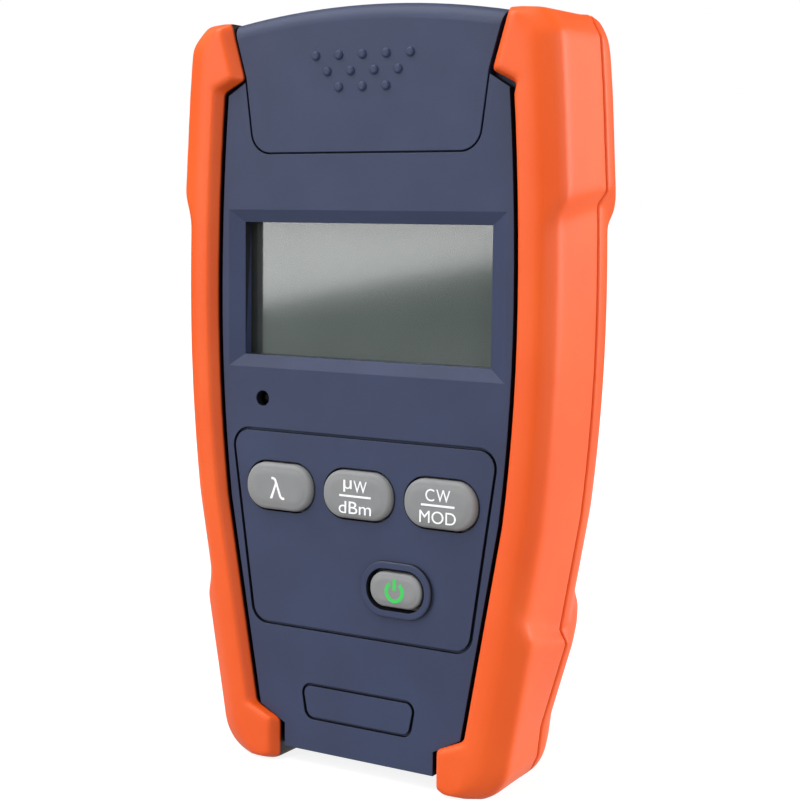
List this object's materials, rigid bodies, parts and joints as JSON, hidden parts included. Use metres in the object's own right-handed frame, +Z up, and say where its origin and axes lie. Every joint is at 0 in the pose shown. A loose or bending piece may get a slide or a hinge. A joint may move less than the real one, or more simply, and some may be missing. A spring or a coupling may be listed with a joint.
{
  "type": "optical light source",
  "caption": "Handheld optical light source with orange corner bumpers, a tilting dust cap over its fibre port, a wide display, oval keys and a battery door.",
  "frame": {"origin": "on the ground under the middle of the body's width and depth", "axes": "+Z up along the body, -Y out of the front panel, +X to the right seen from the front"},
  "size_m": [0.092, 0.041, 0.16],
  "materials": {
    "case_plastic": "fine moulded texture",
    "bumper_rubber": "satin overmoulded elastomer",
    "key_rubber": "matte silicone",
    "window_plastic": "clear",
    "lcd_glass": "polarised",
    "lamp_plastic": "white diffuser",
    "board": "solder resist",
    "switch_plastic": "moulded",
    "led_plastic": "tinted",
    "steel": "zinc plated",
    "nickel": "nickel plated brass",
    "ceramic": "zirconia",
    "cell_jacket": "plastic sleeve over steel"
  },
  "bodies": {
    "case": {"front_shell": "case_plastic", "rear_shell": "case_plastic", "front_bumper_right": "bumper_rubber", "front_bumper_left": "bumper_rubber", "rear_bumper_right": "bumper_rubber", "rear_bumper_left": "bumper_rubber", "cover_hinge_pin": "steel", "display_window": "window_plastic", "lcd_panel": "lcd_glass", "lcd_backlight": "lamp_plastic", "main_board": "board", "board_screws": "steel", "case_screws": "steel", "tact_switches": "switch_plastic", "status_led": "led_plastic", "optical_adapter": "nickel", "adapter_screws": "steel", "ferrule_sleeve": "ceramic", "laser_module": "nickel", "battery_cells": "cell_jacket", "lower_contacts": "nickel", "upper_contacts": "nickel"},
    "cap": {"dust_cover": "case_plastic"},
    "wavelength_key": {"wavelength_button": "key_rubber"},
    "unit_key": {"unit_button": "key_rubber"},
    "mode_key": {"mode_button": "key_rubber"},
    "power_key": {"power_button": "key_rubber"},
    "door": {"battery_door": "case_plastic"}
  },
  "joints": [
    {"name": "cover_hinge", "type": "hinge", "parent": "case", "child": "cap", "pos_m": [0, 0.0149, 0.1554], "axis": [-1, 0, 0], "range_deg": [0, 105]},
    {"name": "wavelength_press", "type": "slide", "parent": "case", "child": "wavelength_key", "axis": [0, 1, 0], "range_m": [0, 0.0007], "stiffness_N_per_m": 900},
    {"name": "unit_press", "type": "slide", "parent": "case", "child": "unit_key", "axis": [0, 1, 0], "range_m": [0, 0.0007], "stiffness_N_per_m": 900},
    {"name": "mode_press", "type": "slide", "parent": "case", "child": "mode_key", "axis": [0, 1, 0], "range_m": [0, 0.0007], "stiffness_N_per_m": 900},
    {"name": "power_press", "type": "slide", "parent": "case", "child": "power_key", "axis": [0, 1, 0], "range_m": [0, 0.0007], "stiffness_N_per_m": 900},
    {"name": "door_hinge", "type": "hinge", "parent": "case", "child": "door", "pos_m": [0, 0.0181, 0.0184], "axis": [-1, 0, 0], "range_deg": [0, 70]}
  ]
}
